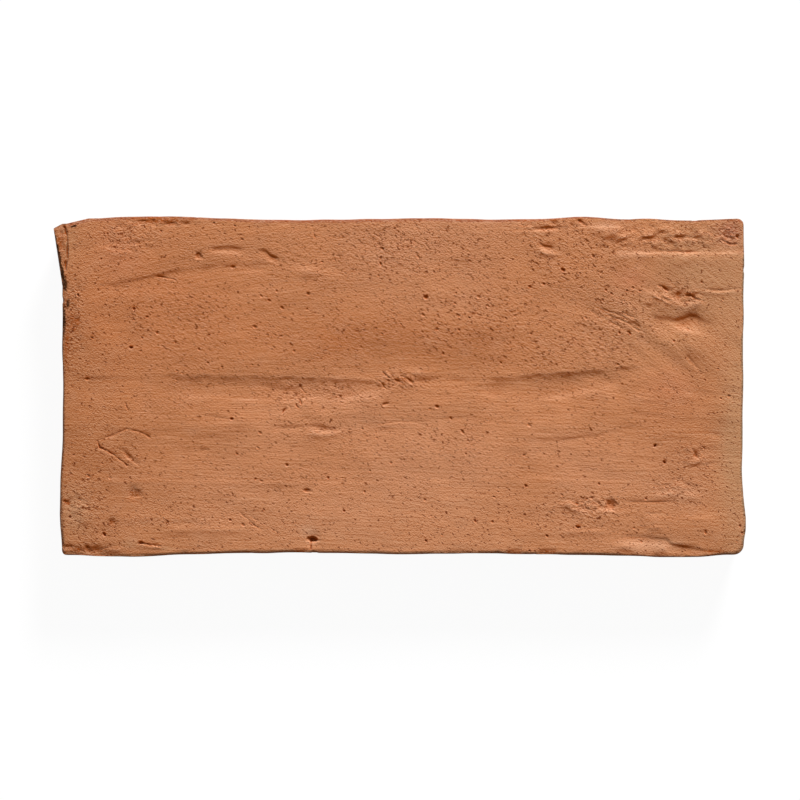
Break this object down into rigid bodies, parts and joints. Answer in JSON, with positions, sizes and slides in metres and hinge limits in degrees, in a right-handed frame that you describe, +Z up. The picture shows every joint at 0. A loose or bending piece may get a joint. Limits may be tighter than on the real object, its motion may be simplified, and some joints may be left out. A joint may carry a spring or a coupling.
{
  "type": "terracotta tile",
  "caption": "Handmade rectangular terracotta floor tile: one fired clay slab with a hand-struck, pitted face, wandering edges and a clay burr at one corner.",
  "frame": {"origin": "centre of the bed, the flat underside that is laid in mortar", "axes": "+X along the length, away from the burr's end; +Y across the width towards the edge with the burr; +Z up through the struck face"},
  "size_m": [0.3048, 0.1502, 0.0251],
  "materials": {
    "terracotta": "matte"
  },
  "bodies": {
    "root": {"tile": "terracotta"}
  },
  "joints": []
}
